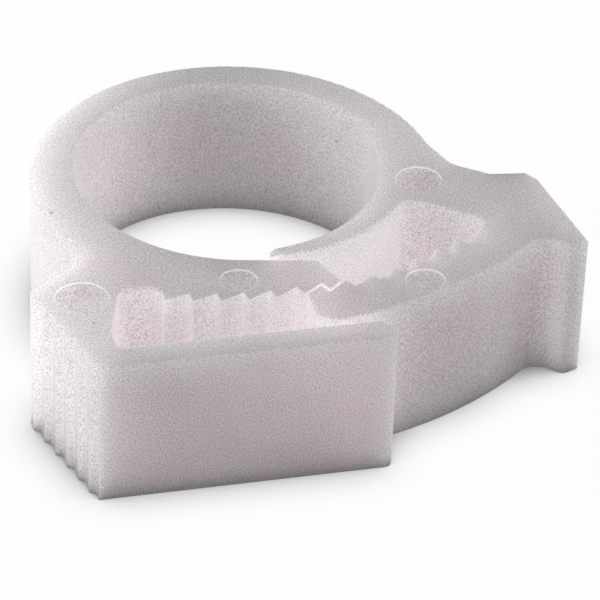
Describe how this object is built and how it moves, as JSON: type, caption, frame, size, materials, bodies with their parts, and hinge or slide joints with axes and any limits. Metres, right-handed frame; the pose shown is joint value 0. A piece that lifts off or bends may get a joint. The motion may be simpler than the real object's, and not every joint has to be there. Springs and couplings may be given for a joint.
{
  "type": "hose clip",
  "caption": "Moulded ratchet hose clip: an open ring whose toothed ends slide past each other and lock, with a pad at each side to squeeze it shut.",
  "frame": {"origin": "on the axis of the hose, in the side face the clip lies on", "axes": "+Z along the axis of the hose, away from the surface the clip lies on; +X along the outer jaw, from its pad towards its free tip; the jaw is on the -Y side"},
  "size_m": [0.0239, 0.022, 0.0067],
  "materials": {
    "nylon": "natural milky nylon, satin, slightly translucent"
  },
  "bodies": {
    "root": {"hose_clip": "nylon"}
  },
  "joints": []
}
